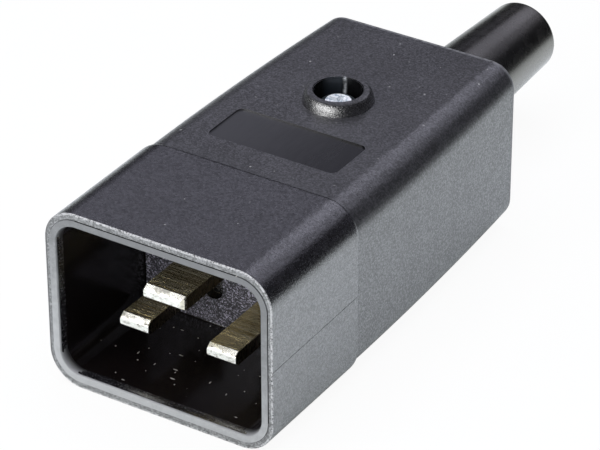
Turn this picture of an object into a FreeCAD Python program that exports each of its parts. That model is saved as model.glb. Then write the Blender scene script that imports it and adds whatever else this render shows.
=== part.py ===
import FreeCAD, Part
import math
import os

# Rewireable three-blade power plug with a rectangular shroud, in millimetres.
# X runs across, Y from the open rim at the front to the bend relief at the rear, Z up.
# The build measures Y from the rim, and the finished pieces are then shifted so that
# the origin lies on the underside, below the middle of the plug.

# Mating cavity and shroud
cavity_width = 29.0
cavity_height = 21.0
cavity_depth = 18.2
cavity_corner_radius = 2.8
shroud_side_wall = 1.8
shroud_top_wall = 2.05
rim_outer_round = 0.4
rim_inner_round = 0.4
rim_land_width = 1.15
rim_land_rise = 0.08
floor_thickness = 3.2
seam_setback = 1.4
spigot_length = 4.3
spigot_wall = 1.2
spigot_clearance = 0.15

# Rear hood: its sides draw in towards the rear along shallow parabolas
seam_gap = 0.1
hood_step = 0.33
hood_wall = 1.8
hood_rear_wall = 2.0
hood_side_taper = 1.55
hood_top_taper = 0.57
hood_corner_taper = 0.8
hood_rear_round = 0.25

# Screw collar and label recess on top of the hood
collar_height = 1.6
collar_base_radius = 4.6
collar_top_radius = 4.25
collar_round = 0.3
collar_seat = 1.8
collar_inner_wall = 1.2
label_front_gap = 5.4
label_length = 7.9
label_width = 18.8
label_depth = 0.2
label_corner_radius = 1.0

# Blades
blade_thickness = 2.0
line_blade_width = 4.15
earth_blade_width = 5.75
blade_pitch = 12.7
line_row_height = 6.9
earth_row_depth = 6.7
line_tip_recess = 4.1
earth_tip_recess = 1.35
tip_bevel_length = 0.7
tip_bevel_depth = 0.5
tip_side_length = 0.4
tip_side_depth = 0.6
slot_clearance = 0.08
root_recess_radius = 1.25
root_recess_height = 5.0
root_recess_depth = 1.6
root_recess_reach = 1.15
root_recess_drop = 2.2

# Terminals behind the contact floor
terminal_length = 12.0
terminal_rise = 3.0
terminal_shoulder = 0.5
earth_shoulder = 0.25
terminal_clearance = 0.1
wire_hole_radius = 1.6
wire_hole_depth = 9.0
terminal_screw_radius = 1.5
terminal_head_radius = 2.3
terminal_head_height = 1.6
screw_slot_width = 0.8
screw_slot_depth = 0.9
thread_clearance = 0.05

# Chassis moulded on to the rear of the contact floor
plate_thickness = 2.0
plate_gap = 0.3
plate_side_gap = 1.4
pad_height = 1.0
divider_thickness = 0.7
chamber_wall = 1.0
shelf_thickness = 1.1
snap_length = 1.1
snap_height = 0.8
wire_room = 3.7
pillar_radius = 4.0
core_room = 6.6

# Housing screw and its trapped square nut
head_recess = 2.2
head_radius = 2.85
head_height = 2.0
head_round = 0.5
head_clearance = 0.35
cross_width = 0.9
cross_reach = 1.8
cross_depth = 1.2
screw_radius = 1.5
screw_hole_clearance = 0.2
screw_reach = 2.0
nut_width = 5.5
nut_thickness = 1.8
nut_clearance = 0.1
nut_cover = 3.0

# Cable clamp
cable_radius = 4.2
cable_clearance = 0.1
cable_axis_drop = 1.1
clamp_squeeze = 0.5
clamp_depth = 5.5
clamp_bar_margin = 0.4
clamp_side_gap = 1.6
clamp_lug_height = 3.2
clamp_cover = 1.8
clamp_screw_radius = 1.25
clamp_head_radius = 2.1
clamp_head_height = 1.6
clamp_screw_reach = 5.0

# Bend-relief sleeve
sleeve_length = 28.8
sleeve_base_wall = 1.9
sleeve_tip_wall = 0.8
sleeve_tip_round = 0.35
sleeve_flange_lip = 1.0
sleeve_flange_thickness = 2.0
sleeve_flange_play = 0.2
sleeve_clearance = 0.1

# Extra length on tools that cut right through, and the reach that counts as touching
cut_margin = 1.0
touch = 0.001

# Sizes that follow from the ones above
shroud_width = cavity_width + 2 * shroud_side_wall
shroud_height = cavity_height + 2 * shroud_top_wall
shroud_corner_radius = cavity_corner_radius + shroud_side_wall
mid_z = shroud_height / 2
seam_y = cavity_depth + seam_setback
floor_rear = cavity_depth + floor_thickness
terminal_end = floor_rear + terminal_length
pillar_y = terminal_end + wire_room + pillar_radius
clamp_front = pillar_y + pillar_radius + core_room
chassis_end = clamp_front + clamp_depth
rear_wall_front = chassis_end + sleeve_flange_play + sleeve_flange_thickness
hood_rear = rear_wall_front + hood_rear_wall
hood_length = hood_rear - seam_y
overall_length = hood_rear + sleeve_length
line_z = shroud_top_wall + line_row_height
earth_z = shroud_height - shroud_top_wall - earth_row_depth
line_x = blade_pitch / 2
cable_z = mid_z - cable_axis_drop
bore_radius = cable_radius + cable_clearance
trough_radius = cable_radius - clamp_squeeze
sleeve_base_radius = bore_radius + sleeve_base_wall
sleeve_tip_radius = bore_radius + sleeve_tip_wall


def point(x, y, z):
    return FreeCAD.Vector(x, y, z)


def box(low, high):
    size = point(*high) - point(*low)
    return Part.makeBox(size.x, size.y, size.z, point(*low))


def upright(radius, x, y, low, high):
    return Part.makeCylinder(radius, high - low, point(x, y, low))


def lengthwise(radius, x, z, front, rear):
    return Part.makeCylinder(radius, rear - front, point(x, front, z), point(0, 1, 0))


def prism(corners, sweep):
    wire = Part.makePolygon(corners + corners[:1])
    return Part.Face(wire).extrude(sweep)


def rounded_outline(width, height, radius, y, centre_z=mid_z):
    """Closed outline across the plug: four straight sides and four corner arcs."""
    edges = []
    half_width = width / 2 - radius
    half_height = height / 2 - radius
    diagonal = radius * math.sqrt(0.5)
    for turn in range(4):
        side_x, side_z = [(1, 1), (-1, 1), (-1, -1), (1, -1)][turn]
        next_x, next_z = [(-1, 1), (-1, -1), (1, -1), (1, 1)][turn]
        centre = point(side_x * half_width, y, centre_z + side_z * half_height)
        after = point(next_x * half_width, y, centre_z + next_z * half_height)
        across = point(side_x * radius, 0, 0)
        upward = point(0, 0, side_z * radius)
        first, last = (across, upward) if turn % 2 == 0 else (upward, across)
        middle = centre + point(side_x * diagonal, 0, side_z * diagonal)
        edges.append(Part.Arc(centre + first, middle, centre + last).toShape())
        edges.append(Part.LineSegment(centre + last, after + last).toShape())
    return Part.Wire(edges)


def extruded(outline, length):
    return Part.Face(outline).extrude(point(0, length, 0))


def edges_along(shape, outline):
    """Edges of a shape that lie in an outline's plane and end on the outline."""
    found = []
    for edge in shape.Edges:
        ends = [edge.valueAt(edge.FirstParameter), edge.valueAt(edge.LastParameter)]
        on_outline = [outline.distToShape(Part.Vertex(end))[0] < touch for end in ends]
        in_plane = abs(edge.CenterOfMass.y - ends[0].y) < touch
        if all(on_outline) and in_plane:
            found.append(edge)
    return found


def hood_half_sizes(y):
    """Half width, half height and corner radius of the hood's outside at a station."""
    draw_in = ((y - seam_y) / hood_length) ** 2
    half_width = shroud_width / 2 - hood_step - hood_side_taper * draw_in
    half_height = shroud_height / 2 - hood_step - hood_top_taper * draw_in
    radius = shroud_corner_radius - hood_step - hood_corner_taper * draw_in
    return half_width, half_height, radius


def hood_outline(y, inset):
    half_width, half_height, radius = hood_half_sizes(y)
    return rounded_outline(2 * (half_width - inset), 2 * (half_height - inset), radius - inset, y)


def hood_loft(front, rear, inset):
    shares = (0, 0.25, 0.5, 0.75, 1)
    outlines = [hood_outline(front + share * (rear - front), inset) for share in shares]
    return Part.makeLoft(outlines, True)


def hood_top(y):
    return mid_z + hood_half_sizes(y)[1]


# Levels that follow from the hood's inside
inner_half_width = hood_half_sizes(chassis_end)[0] - hood_wall
inner_half_height = hood_half_sizes(chassis_end)[1] - hood_wall
plate_low = mid_z - inner_half_height + plate_gap
plate_top = plate_low + plate_thickness
plate_half_width = inner_half_width - plate_side_gap
pad_top = plate_top + pad_height
collar_top = hood_top(pillar_y) + collar_height
head_top = collar_top - head_recess
head_seat = head_top - head_height
pillar_top = head_seat - collar_seat
counterbore_radius = head_radius + head_clearance
nut_top = pillar_top - nut_cover
nut_low = nut_top - nut_thickness
screw_end = nut_low - screw_reach
line_top = line_z + terminal_rise
earth_low = earth_z - terminal_rise
earth_top = earth_z + terminal_rise
earth_half_width = earth_blade_width / 2 + earth_shoulder
divider_inner = earth_half_width + terminal_clearance
divider_outer = divider_inner + divider_thickness
line_inner = divider_outer + terminal_clearance
line_outer = line_x + line_blade_width / 2 + terminal_shoulder
chamber_inner = line_outer + terminal_clearance
chamber_outer = chamber_inner + chamber_wall
snap_front = terminal_end + terminal_clearance
snap_rear = snap_front + snap_length
clamp_half_width = inner_half_width - clamp_side_gap
clamp_screw_x = (cable_radius + clamp_half_width) / 2
clamp_middle = clamp_front + clamp_depth / 2
clamp_seat = cable_z + clamp_lug_height
sides = (-1, 1)


def shroud_shell():
    """Shroud tube with a stepped rim, the contact floor and the spigot that enters the hood."""
    outer_front = rounded_outline(shroud_width, shroud_height, shroud_corner_radius, 0)
    band_width = cavity_width + 2 * rim_land_width
    band_height = cavity_height + 2 * rim_land_width
    land = rounded_outline(band_width, band_height, cavity_corner_radius + rim_land_width, 0)
    cavity_rim = rounded_outline(cavity_width, cavity_height, cavity_corner_radius, 0)
    shell = extruded(outer_front, seam_y).cut(extruded(cavity_rim, cavity_depth))
    shell = shell.cut(extruded(outer_front, rim_land_rise).cut(extruded(land, rim_land_rise)))
    outer_band = rounded_outline(shroud_width, shroud_height, shroud_corner_radius, rim_land_rise)
    shell = shell.makeFillet(rim_outer_round, edges_along(shell, outer_band))
    shell = shell.makeFillet(rim_inner_round, edges_along(shell, cavity_rim))
    spigot_rear = seam_y + spigot_length
    half_width, half_height, radius = hood_half_sizes(spigot_rear)
    inset = hood_wall + spigot_clearance
    corner = radius - inset
    outline = rounded_outline(2 * (half_width - inset), 2 * (half_height - inset), corner, cavity_depth)
    spigot = extruded(outline, spigot_rear - cavity_depth)
    inset += spigot_wall
    corner = max(radius - inset, touch)
    hollow = rounded_outline(2 * (half_width - inset), 2 * (half_height - inset), corner, floor_rear)
    spigot = spigot.cut(extruded(hollow, spigot_length))
    return shell.fuse(spigot)


def blade_slots():
    """Through slots in the contact floor, one per blade."""
    front = cavity_depth - cut_margin
    rear = floor_rear + touch
    reach_z = blade_thickness / 2 + slot_clearance
    places = [(0, earth_z, earth_blade_width)]
    places += [(side * line_x, line_z, line_blade_width) for side in sides]
    slots = []
    for x, z, width in places:
        reach_x = width / 2 + slot_clearance
        slots.append(box((x - reach_x, front, z - reach_z), (x + reach_x, rear, z + reach_z)))
    return slots


def root_recesses():
    """Blind round-ended recesses in the floor, beside the inner edge of each outer blade."""
    cutters = []
    low = line_z - blade_thickness / 2 - root_recess_drop + root_recess_radius
    high = low + root_recess_height - 2 * root_recess_radius
    front = cavity_depth - cut_margin
    rear = cavity_depth + root_recess_depth
    for side in sides:
        x = side * (line_x - line_blade_width / 2 - root_recess_reach + root_recess_radius)
        middle = box((x - root_recess_radius, front, low), (x + root_recess_radius, rear, high))
        ends = [lengthwise(root_recess_radius, x, z, front, rear) for z in (low, high)]
        cutters.append(middle.multiFuse(ends))
    return cutters


def side_wall(side, near, far, front, low, high):
    """Wall on one side of the middle, as far back as the snap ribs."""
    left, right = sorted((side * near, side * far))
    return box((left, front, low), (right, snap_rear, high))


def terminal_chambers():
    """Base plate, dividers, pads, shelf and snap ribs that hold the three terminals."""
    pieces = [box((-plate_half_width, seam_y, plate_low), (plate_half_width, chassis_end, plate_top))]
    snap_top = pad_top + snap_height
    for side in sides:
        pieces.append(side_wall(side, divider_inner, divider_outer, seam_y, plate_low, earth_top))
        pieces.append(side_wall(side, chamber_inner, chamber_outer, seam_y, plate_low, line_top))
        pieces.append(side_wall(side, divider_inner, chamber_outer, seam_y, plate_low, pad_top))
        pieces.append(side_wall(side, divider_inner, chamber_outer, snap_front, pad_top, snap_top))
    shelf_low = earth_low - shelf_thickness
    shelf_snap_top = earth_low + snap_height
    pieces.append(box((-divider_outer, seam_y, shelf_low), (divider_outer, snap_rear, earth_low)))
    pieces.append(box((-divider_outer, snap_front, earth_low), (divider_outer, snap_rear, shelf_snap_top)))
    return pieces


def screw_pillar():
    """Pillar under the hood's collar, with a side pocket for the square nut."""
    pillar = upright(pillar_radius, 0, pillar_y, plate_low, pillar_top)
    hole = upright(screw_radius + screw_hole_clearance, 0, pillar_y, screw_end - cut_margin, pillar_top)
    half = nut_width / 2 + nut_clearance
    pocket = box((-half, pillar_y - half, nut_low), (half, pillar_y + pillar_radius, nut_top + nut_clearance))
    return pillar.cut(hole).cut(pocket)


def cable_saddle():
    """Lower half of the cable clamp, with pilot holes for the two clamp screws."""
    saddle = box((-clamp_half_width, clamp_front, plate_low), (clamp_half_width, chassis_end, cable_z))
    saddle = saddle.cut(lengthwise(trough_radius, 0, cable_z, clamp_front, chassis_end))
    pilot_end = cable_z - clamp_screw_reach - cut_margin
    for side in sides:
        pilot_radius = clamp_screw_radius + thread_clearance
        saddle = saddle.cut(upright(pilot_radius, side * clamp_screw_x, clamp_middle, pilot_end, cable_z))
    return saddle


def front_shroud():
    body = shroud_shell().multiFuse(terminal_chambers() + [screw_pillar(), cable_saddle()])
    for cutter in blade_slots() + root_recesses():
        body = body.cut(cutter)
    return body.removeSplitter()


def label_recess():
    """Shallow rounded field cut into the top of the hood, ahead of the collar."""
    front = seam_y + label_front_gap
    rear = front + label_length
    low = hood_top(rear) - label_depth
    half = label_width / 2
    cutter = box((-half, front, low), (half, rear, low + label_depth + cut_margin))
    uprights = [edge for edge in cutter.Edges if abs(edge.tangentAt(edge.FirstParameter).z) > 1 - touch]
    return cutter.makeFillet(label_corner_radius, uprights)


def rear_hood():
    hood = hood_loft(seam_y + seam_gap, hood_rear, 0)
    hood = hood.makeFillet(hood_rear_round, edges_along(hood, hood_outline(hood_rear, 0)))
    collar_foot = hood_top(pillar_y) - hood_wall / 2
    foot = point(0, pillar_y, collar_foot)
    collar = Part.makeCone(collar_base_radius, collar_top_radius, collar_top - collar_foot, foot)
    rim = [edge for edge in collar.Edges if abs(edge.CenterOfMass.z - collar_top) < touch]
    collar = collar.makeFillet(collar_round, rim)
    hood = hood.fuse(collar)
    inner_tube = upright(counterbore_radius + collar_inner_wall, 0, pillar_y, pillar_top, collar_foot)
    hood = hood.cut(hood_loft(seam_y, rear_wall_front, hood_wall)).fuse(inner_tube)
    counterbore = upright(counterbore_radius, 0, pillar_y, head_seat, collar_top + cut_margin)
    hole_radius = screw_radius + screw_hole_clearance
    screw_hole = upright(hole_radius, 0, pillar_y, pillar_top - cut_margin, head_seat)
    opening_radius = sleeve_base_radius + sleeve_clearance
    opening_front = rear_wall_front - cut_margin
    opening = lengthwise(opening_radius, 0, cable_z, opening_front, hood_rear + cut_margin)
    for cutter in (counterbore, screw_hole, opening, label_recess()):
        hood = hood.cut(cutter)
    return hood.removeSplitter()


def blade(width, x, z, tip):
    """Flat blade with a bevelled nose, from its tip to just past the contact floor."""
    root = floor_rear + cut_margin
    top = z + blade_thickness / 2
    low = z - blade_thickness / 2
    left = x - width / 2
    right = x + width / 2
    bevel_y = tip + tip_bevel_length
    side_view = [(root, top), (bevel_y, top), (tip, top - tip_bevel_depth), (tip, low + tip_bevel_depth)]
    side_view += [(bevel_y, low), (root, low)]
    side_prism = prism([point(left, y, height) for y, height in side_view], point(width, 0, 0))
    side_y = tip + tip_side_length
    plan = [(left, root), (left, side_y), (left + tip_side_depth, tip), (right - tip_side_depth, tip)]
    plan += [(right, side_y), (right, root)]
    plan_prism = prism([point(across, y, low) for across, y in plan], point(0, 0, blade_thickness))
    return side_prism.common(plan_prism)


def terminal_block(low, high, wire_z):
    """Brass block seated on the rear of the floor, with a wire hole and a threaded hole for its screw."""
    block = box(low, high)
    x = (low[0] + high[0]) / 2
    block = block.cut(lengthwise(wire_hole_radius, x, wire_z, terminal_end - wire_hole_depth, terminal_end))
    screw_y = terminal_end - wire_hole_depth / 2
    return block.cut(upright(terminal_screw_radius + thread_clearance, x, screw_y, wire_z, high[2]))


def line_block_sides(side):
    return sorted((side * line_inner, side * line_outer))


def earth_pin():
    low = (-earth_half_width, floor_rear, earth_low)
    high = (earth_half_width, terminal_end, earth_top)
    pin = blade(earth_blade_width, 0, earth_z, earth_tip_recess)
    return pin.fuse(terminal_block(low, high, earth_z)).removeSplitter()


def outer_pin(side):
    left, right = line_block_sides(side)
    pin = blade(line_blade_width, side * line_x, line_z, line_tip_recess)
    block = terminal_block((left, floor_rear, pad_top), (right, terminal_end, line_top), line_z)
    return pin.fuse(block).removeSplitter()


def slotted_screw(shank_radius, head, height, x, y, seat, end):
    """Cheese-head screw standing upright, slotted across."""
    screw = upright(head, x, y, seat, seat + height)
    screw = screw.fuse(upright(shank_radius, x, y, end, seat)).removeSplitter()
    half = screw_slot_width / 2
    slot_low = seat + height - screw_slot_depth
    return screw.cut(box((x - head, y - half, slot_low), (x + head, y + half, seat + height + cut_margin)))


def terminal_screw(x, seat, wire_z):
    screw_y = terminal_end - wire_hole_depth / 2
    return slotted_screw(
        terminal_screw_radius, terminal_head_radius, terminal_head_height, x, screw_y, seat, wire_z)


def outer_terminal_screw(side):
    return terminal_screw(sum(line_block_sides(side)) / 2, line_top, line_z)


def clamp_bar():
    """Strain-relief bar: two screw lugs and an arch over the cable."""
    front = clamp_front + clamp_bar_margin
    rear = chassis_end - clamp_bar_margin
    lugs = box((-clamp_half_width, front, cable_z), (clamp_half_width, rear, clamp_seat))
    arch_radius = cable_radius + clamp_cover
    arch = lengthwise(arch_radius, 0, cable_z, front, rear)
    arch = arch.cut(box((-arch_radius, front, cable_z - arch_radius), (arch_radius, rear, cable_z)))
    bar = lugs.fuse(arch).removeSplitter()
    bar = bar.cut(lengthwise(trough_radius, 0, cable_z, front - cut_margin, rear + cut_margin))
    hole_radius = clamp_screw_radius + screw_hole_clearance
    head_room = clamp_head_radius + screw_hole_clearance
    for side in sides:
        x = side * clamp_screw_x
        bar = bar.cut(upright(hole_radius, x, clamp_middle, cable_z - cut_margin, clamp_seat))
        bar = bar.cut(upright(head_room, x, clamp_middle, clamp_seat, clamp_seat + arch_radius))
    return bar


def clamp_screw(side):
    end = cable_z - clamp_screw_reach
    x = side * clamp_screw_x
    return slotted_screw(
        clamp_screw_radius, clamp_head_radius, clamp_head_height, x, clamp_middle, clamp_seat, end)


def housing_screw():
    """Cheese-head screw with a cross recess, seated in the hood's collar."""
    head = upright(head_radius, 0, pillar_y, head_seat, head_top)
    rim = [edge for edge in head.Edges if abs(edge.CenterOfMass.z - head_top) < touch]
    head = head.makeFillet(head_round, rim)
    screw = head.fuse(upright(screw_radius, 0, pillar_y, screw_end, head_seat)).removeSplitter()
    half = cross_width / 2
    low = head_top - cross_depth
    high = head_top + cut_margin
    for reach_x, reach_y in ((cross_reach, half), (half, cross_reach)):
        screw = screw.cut(box((-reach_x, pillar_y - reach_y, low), (reach_x, pillar_y + reach_y, high)))
    return screw


def housing_nut():
    half = nut_width / 2
    nut = box((-half, pillar_y - half, nut_low), (half, pillar_y + half, nut_top))
    hole_radius = screw_radius + thread_clearance
    return nut.cut(upright(hole_radius, 0, pillar_y, nut_low - cut_margin, nut_top + cut_margin))


def bend_relief_sleeve():
    """Tapered rubber sleeve, held by a flange inside the hood's rear wall."""
    flange_front = rear_wall_front - sleeve_flange_thickness
    sleeve = lengthwise(sleeve_base_radius + sleeve_flange_lip, 0, cable_z, flange_front, rear_wall_front)
    sleeve = sleeve.fuse(lengthwise(sleeve_base_radius, 0, cable_z, rear_wall_front, hood_rear))
    foot = point(0, hood_rear, cable_z)
    cone = Part.makeCone(sleeve_base_radius, sleeve_tip_radius, sleeve_length, foot, point(0, 1, 0))
    tip = [edge for edge in cone.Edges if abs(edge.CenterOfMass.y - overall_length) < touch]
    cone = cone.makeFillet(sleeve_tip_round, tip)
    sleeve = sleeve.fuse(cone).removeSplitter()
    bore_front = flange_front - cut_margin
    return sleeve.cut(lengthwise(bore_radius, 0, cable_z, bore_front, overall_length + cut_margin))


nodes = {
    "front_shroud": front_shroud(),
    "rear_hood": rear_hood(),
    "earth_pin": earth_pin(),
    "line_pin": outer_pin(-1),
    "neutral_pin": outer_pin(1),
    "earth_terminal_screw": terminal_screw(0, earth_top, earth_z),
    "line_terminal_screw": outer_terminal_screw(-1),
    "neutral_terminal_screw": outer_terminal_screw(1),
    "cable_clamp": clamp_bar(),
    "left_clamp_screw": clamp_screw(-1),
    "right_clamp_screw": clamp_screw(1),
    "housing_screw": housing_screw(),
    "housing_nut": housing_nut(),
    "bend_relief_sleeve": bend_relief_sleeve(),
}

os.makedirs("parts", exist_ok=True)
for name, shape in nodes.items():
    shape.translate(point(0, -overall_length / 2, 0))
    print(name, "valid", shape.isValid(), "solids", len(shape.Solids), "volume", round(shape.Volume, 1))
    shape.exportStep("parts/" + name + ".step")
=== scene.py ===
import math

import bmesh
import bpy
from mathutils import Matrix, Vector


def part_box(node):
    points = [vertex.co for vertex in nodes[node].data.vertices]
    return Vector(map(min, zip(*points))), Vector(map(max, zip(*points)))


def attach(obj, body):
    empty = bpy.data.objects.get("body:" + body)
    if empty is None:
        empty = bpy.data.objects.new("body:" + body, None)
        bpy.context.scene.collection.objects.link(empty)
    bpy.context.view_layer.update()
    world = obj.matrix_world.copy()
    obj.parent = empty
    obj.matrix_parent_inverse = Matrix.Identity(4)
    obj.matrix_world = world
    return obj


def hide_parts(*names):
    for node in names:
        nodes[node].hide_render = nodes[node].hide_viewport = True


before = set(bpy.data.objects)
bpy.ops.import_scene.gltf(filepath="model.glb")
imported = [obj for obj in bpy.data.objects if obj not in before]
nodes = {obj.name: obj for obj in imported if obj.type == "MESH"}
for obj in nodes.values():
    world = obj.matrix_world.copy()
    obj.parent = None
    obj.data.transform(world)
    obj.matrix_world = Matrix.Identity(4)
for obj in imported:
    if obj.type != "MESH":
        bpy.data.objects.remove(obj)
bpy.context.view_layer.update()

# Lengths in this script are millimetres; meshes are scaled to metres as they are made
mm = 0.001


def nodeBox(name):
    low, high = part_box(name)
    return low / mm, high / mm


shroudLow, shroudHigh = nodeBox("front_shroud")
hoodLow, hoodHigh = nodeBox("rear_hood")
sleeveLow, sleeveHigh = nodeBox("bend_relief_sleeve")
screwLow, screwHigh = nodeBox("housing_screw")
rimY = shroudLow.y
midZ = (shroudLow.z + shroudHigh.z) / 2
collarY = (screwLow.y + screwHigh.y) / 2
cableZ = (sleeveLow.z + sleeveHigh.z) / 2
print("frame loaded, rim at", round(rimY, 2), "mm")


# Sockets with arithmetic, so that shader maths reads as plain expressions
class Wire:
    def __init__(self, tree, socket=None):
        self.tree = tree
        self.socket = socket

    def add(self, kind, settings=None, sockets=None, output=0):
        node = self.tree.nodes.new(kind)
        for name, value in (settings or {}).items():
            setattr(node, name, value)
        for name, value in (sockets or {}).items():
            if isinstance(value, Wire):
                self.tree.links.new(value.socket, node.inputs[name])
            else:
                node.inputs[name].default_value = value
        return Wire(self.tree, node.outputs[output] if node.outputs else None)

    def calc(self, operation, first, second):
        return self.add("ShaderNodeMath", {"operation": operation}, {0: first, 1: second})

    def __add__(self, other):
        return self.calc("ADD", self, other)

    def __radd__(self, other):
        return self.calc("ADD", other, self)

    def __sub__(self, other):
        return self.calc("SUBTRACT", self, other)

    def __rsub__(self, other):
        return self.calc("SUBTRACT", other, self)

    def __mul__(self, other):
        return self.calc("MULTIPLY", self, other)

    def __rmul__(self, other):
        return self.calc("MULTIPLY", other, self)

    def __lt__(self, other):
        return self.calc("LESS_THAN", self, other)

    def __abs__(self):
        return self.calc("ABSOLUTE", self, 0.0)

    def ramp(self, low, high):
        sockets = {"Value": self, "From Min": low, "From Max": high}
        return self.add("ShaderNodeMapRange", {"interpolation_type": "SMOOTHSTEP"}, sockets)

    def blend(self, colourA, colourB):
        sockets = {0: self, 6: colourA, 7: colourB}
        return self.add("ShaderNodeMix", {"data_type": "RGBA"}, sockets, 2)

    def place(self, stretch=(1, 1, 1)):
        # position on the part in millimetres, stretched along the axes
        spot = self.add("ShaderNodeTexCoord", output="Object")
        scale = [1 / mm * share for share in stretch]
        return self.add("ShaderNodeVectorMath", {"operation": "MULTIPLY"}, {0: spot, 1: scale})

    def noise(self, scale, detail=2.0, stretch=(1, 1, 1)):
        sockets = {"Vector": self.place(stretch), "Scale": scale, "Detail": detail}
        return self.add("ShaderNodeTexNoise", {}, sockets)

    def cells(self, scale, output="Distance", stretch=(1, 1, 1), reach="3D"):
        sockets = {"Vector": self.place(stretch), "Scale": scale}
        return self.add("ShaderNodeTexVoronoi", {"voronoi_dimensions": reach}, sockets, output)

    def lots(self, scale, stretch=(1, 1, 1), reach="3D"):
        # one random value to each grain
        return self.add("ShaderNodeSeparateColor", {}, {0: self.cells(scale, "Color", stretch, reach)})

    def specks(self, spacing, size, stretch=(1, 1)):
        # sparse specks of mixed sizes, lying on what faces up
        flat = (*stretch, 1)
        lot = self.lots(1 / spacing, flat, "2D")
        near = self.cells(1 / spacing, "Distance", flat, "2D") < lot * (size / spacing)
        return near * self.facing("Z").ramp(0.5, 0.9)

    def along(self, axis):
        return self.add("ShaderNodeSeparateXYZ", {}, {0: self.place()}, axis)

    def facing(self, axis):
        # how far the surface turns towards an axis
        normal = self.add("ShaderNodeTexCoord", output="Normal")
        return self.add("ShaderNodeSeparateXYZ", {}, {0: normal}, axis)

    def bump(self, height, depth):
        sockets = {"Height": height, "Distance": depth * mm}
        return self.add("ShaderNodeBump", {}, sockets)


def colour(red, green, blue):
    return (red, green, blue, 1.0)


def emptyTree(holder):
    holder.use_nodes = True
    holder.node_tree.nodes.clear()
    return Wire(holder.node_tree)


def newMaterial(name, look, make):
    material = bpy.data.materials.new(name)
    wire = emptyTree(material)
    surface = wire.add("ShaderNodeBsdfPrincipled", {}, {**look["fixed"], **make(wire, look)})
    wire.add("ShaderNodeOutputMaterial", {}, {"Surface": surface})
    return material


# Black moulded plastic with spark-eroded grain, for the outside
shroudLook = {
    "dark": colour(0.002, 0.002, 0.0025),
    "light": colour(0.034, 0.033, 0.038),
    "dust": colour(0.36, 0.355, 0.34),
    "dustSpacing": 9.0,
    "dustSize": 0.14,
    "scale": 5.2,
    "cloudScale": 0.12,
    "depth": 0.03,
    "roughness": 0.24,
    "sheen": (0.3, 0.9),
    "fixed": {"IOR": 2.0, "Specular IOR Level": 1.0, "Coat Roughness": 0.22, "Coat IOR": 2.2},
}
hoodLook = {
    **shroudLook,
    "dark": colour(0.016, 0.016, 0.0165),
    "light": colour(0.066, 0.065, 0.07),
    "dustSpacing": 4.2,
    "roughness": 0.34,
    "fixed": {"IOR": 1.82, "Specular IOR Level": 1.0, "Coat Roughness": 0.28, "Coat IOR": 2.1},
}
collarLook = {
    **hoodLook,
    "dark": colour(0.012, 0.012, 0.0125),
    "light": colour(0.04, 0.0395, 0.0425),
    "dustSpacing": 9.0,
    "scale": 6.0,
    "depth": 0.075,
    "roughness": 0.19,
    "sheen": (0.3, 0.8),
    "fixed": {"IOR": 2.1, "Specular IOR Level": 1.0, "Coat Roughness": 0.3, "Coat IOR": 2.2},
}


def grainMix(wire, scale):
    # the grain's height, and its glint with one random share to each grain
    fine = wire.noise(scale, 3.0)
    return fine, fine * 0.6 + wire.lots(scale) * 0.4


def grainedPlastic(wire, look):
    fine, sparkle = grainMix(wire, look["scale"])
    cloud = wire.noise(look["cloudScale"], 2.0)
    dust = wire.specks(look["dustSpacing"], look["dustSize"])
    tone = (sparkle + cloud * 0.3 - 0.15).ramp(0.2, 0.8)
    return {
        "Base Color": dust.blend(tone.blend(look["dark"], look["light"]), look["dust"]),
        "Roughness": look["roughness"] + (fine - 0.5) * 0.3 + dust * 0.3,
        "Coat Weight": sparkle.ramp(*look["sheen"]),
        "Normal": wire.bump(fine, look["depth"]),
    }


# Polished land of the rim, its pale grey a painted reflection, paler towards its lower left as painted
# light, and dark into the cavity
landLook = {
    "dark": colour(0.12, 0.122, 0.126),
    "light": colour(0.42, 0.425, 0.43),
    "deep": colour(0.012, 0.0118, 0.0118),
    "fall": (-0.008, -0.033),
    "middle": 0.06,
    "inward": (-0.2, 1.35),
    "roughness": 0.32,
    "fixed": {"Specular IOR Level": 1.0, "Coat Weight": 0.5, "Coat Roughness": 0.25, "Coat IOR": 1.7},
}


def polishedLandPaintedLight(wire, look):
    cloud = wire.noise(1.1, 3.0)
    fine = wire.noise(6.0, 2.0)
    across, upward = look["fall"]
    # painted light: the land is paler towards its lower left
    rubAndPaintedLight = wire.along("X") * across + (wire.along("Z") - midZ) * upward
    rubAndPaintedLight = (rubAndPaintedLight + cloud * 0.5 + fine * 0.3 + look["middle"]).ramp(0.0, 1.0)
    inward = (wire.along("Y") - rimY).ramp(*look["inward"])
    return {
        "Base Color": inward.blend(rubAndPaintedLight.blend(look["dark"], look["light"]), look["deep"]),
        "Roughness": look["roughness"] + fine * 0.12,
        "Normal": wire.bump(fine, 0.004),
    }


# Grained outer band of the rim, its pale grains a painted reflection
bandLook = {
    "dark": colour(0.02, 0.02, 0.021),
    "light": colour(0.25, 0.25, 0.255),
    "scale": 5.0,
    "depth": 0.06,
    "roughness": 0.24,
    "sheen": (0.2, 0.7),
    "fixed": {"IOR": 1.7, "Specular IOR Level": 1.0, "Coat Roughness": 0.25, "Coat IOR": 1.8},
}


def grainedBandPaintedReflection(wire, look):
    fine, sparkle = grainMix(wire, look["scale"])
    return {
        "Base Color": sparkle.ramp(0.3, 0.8).blend(look["dark"], look["light"]),
        "Roughness": look["roughness"] + fine * 0.25,
        "Coat Weight": sparkle.ramp(*look["sheen"]),
        "Normal": wire.bump(fine, look["depth"]),
    }


# Edges with painted highlight: an even lighter band round the back of the hood, and light spots round
# the rim that are rubbing and painted highlight
paintedHighlightLook = {
    "dark": colour(0.08, 0.08, 0.082),
    "light": colour(0.2, 0.2, 0.203),
    "scale": 1.4,
    "roughness": 0.24,
    "fixed": {"IOR": 1.6, "Specular IOR Level": 1.0},
}
rubbedAndHighlightLook = {
    **paintedHighlightLook,
    "dark": colour(0.012, 0.012, 0.0128),
    "light": colour(0.5, 0.5, 0.505),
    "scale": 4.5,
    "from": (-17.0, -13.5),  # the rim's far left is spared
    "roughness": 0.2,
}


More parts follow.
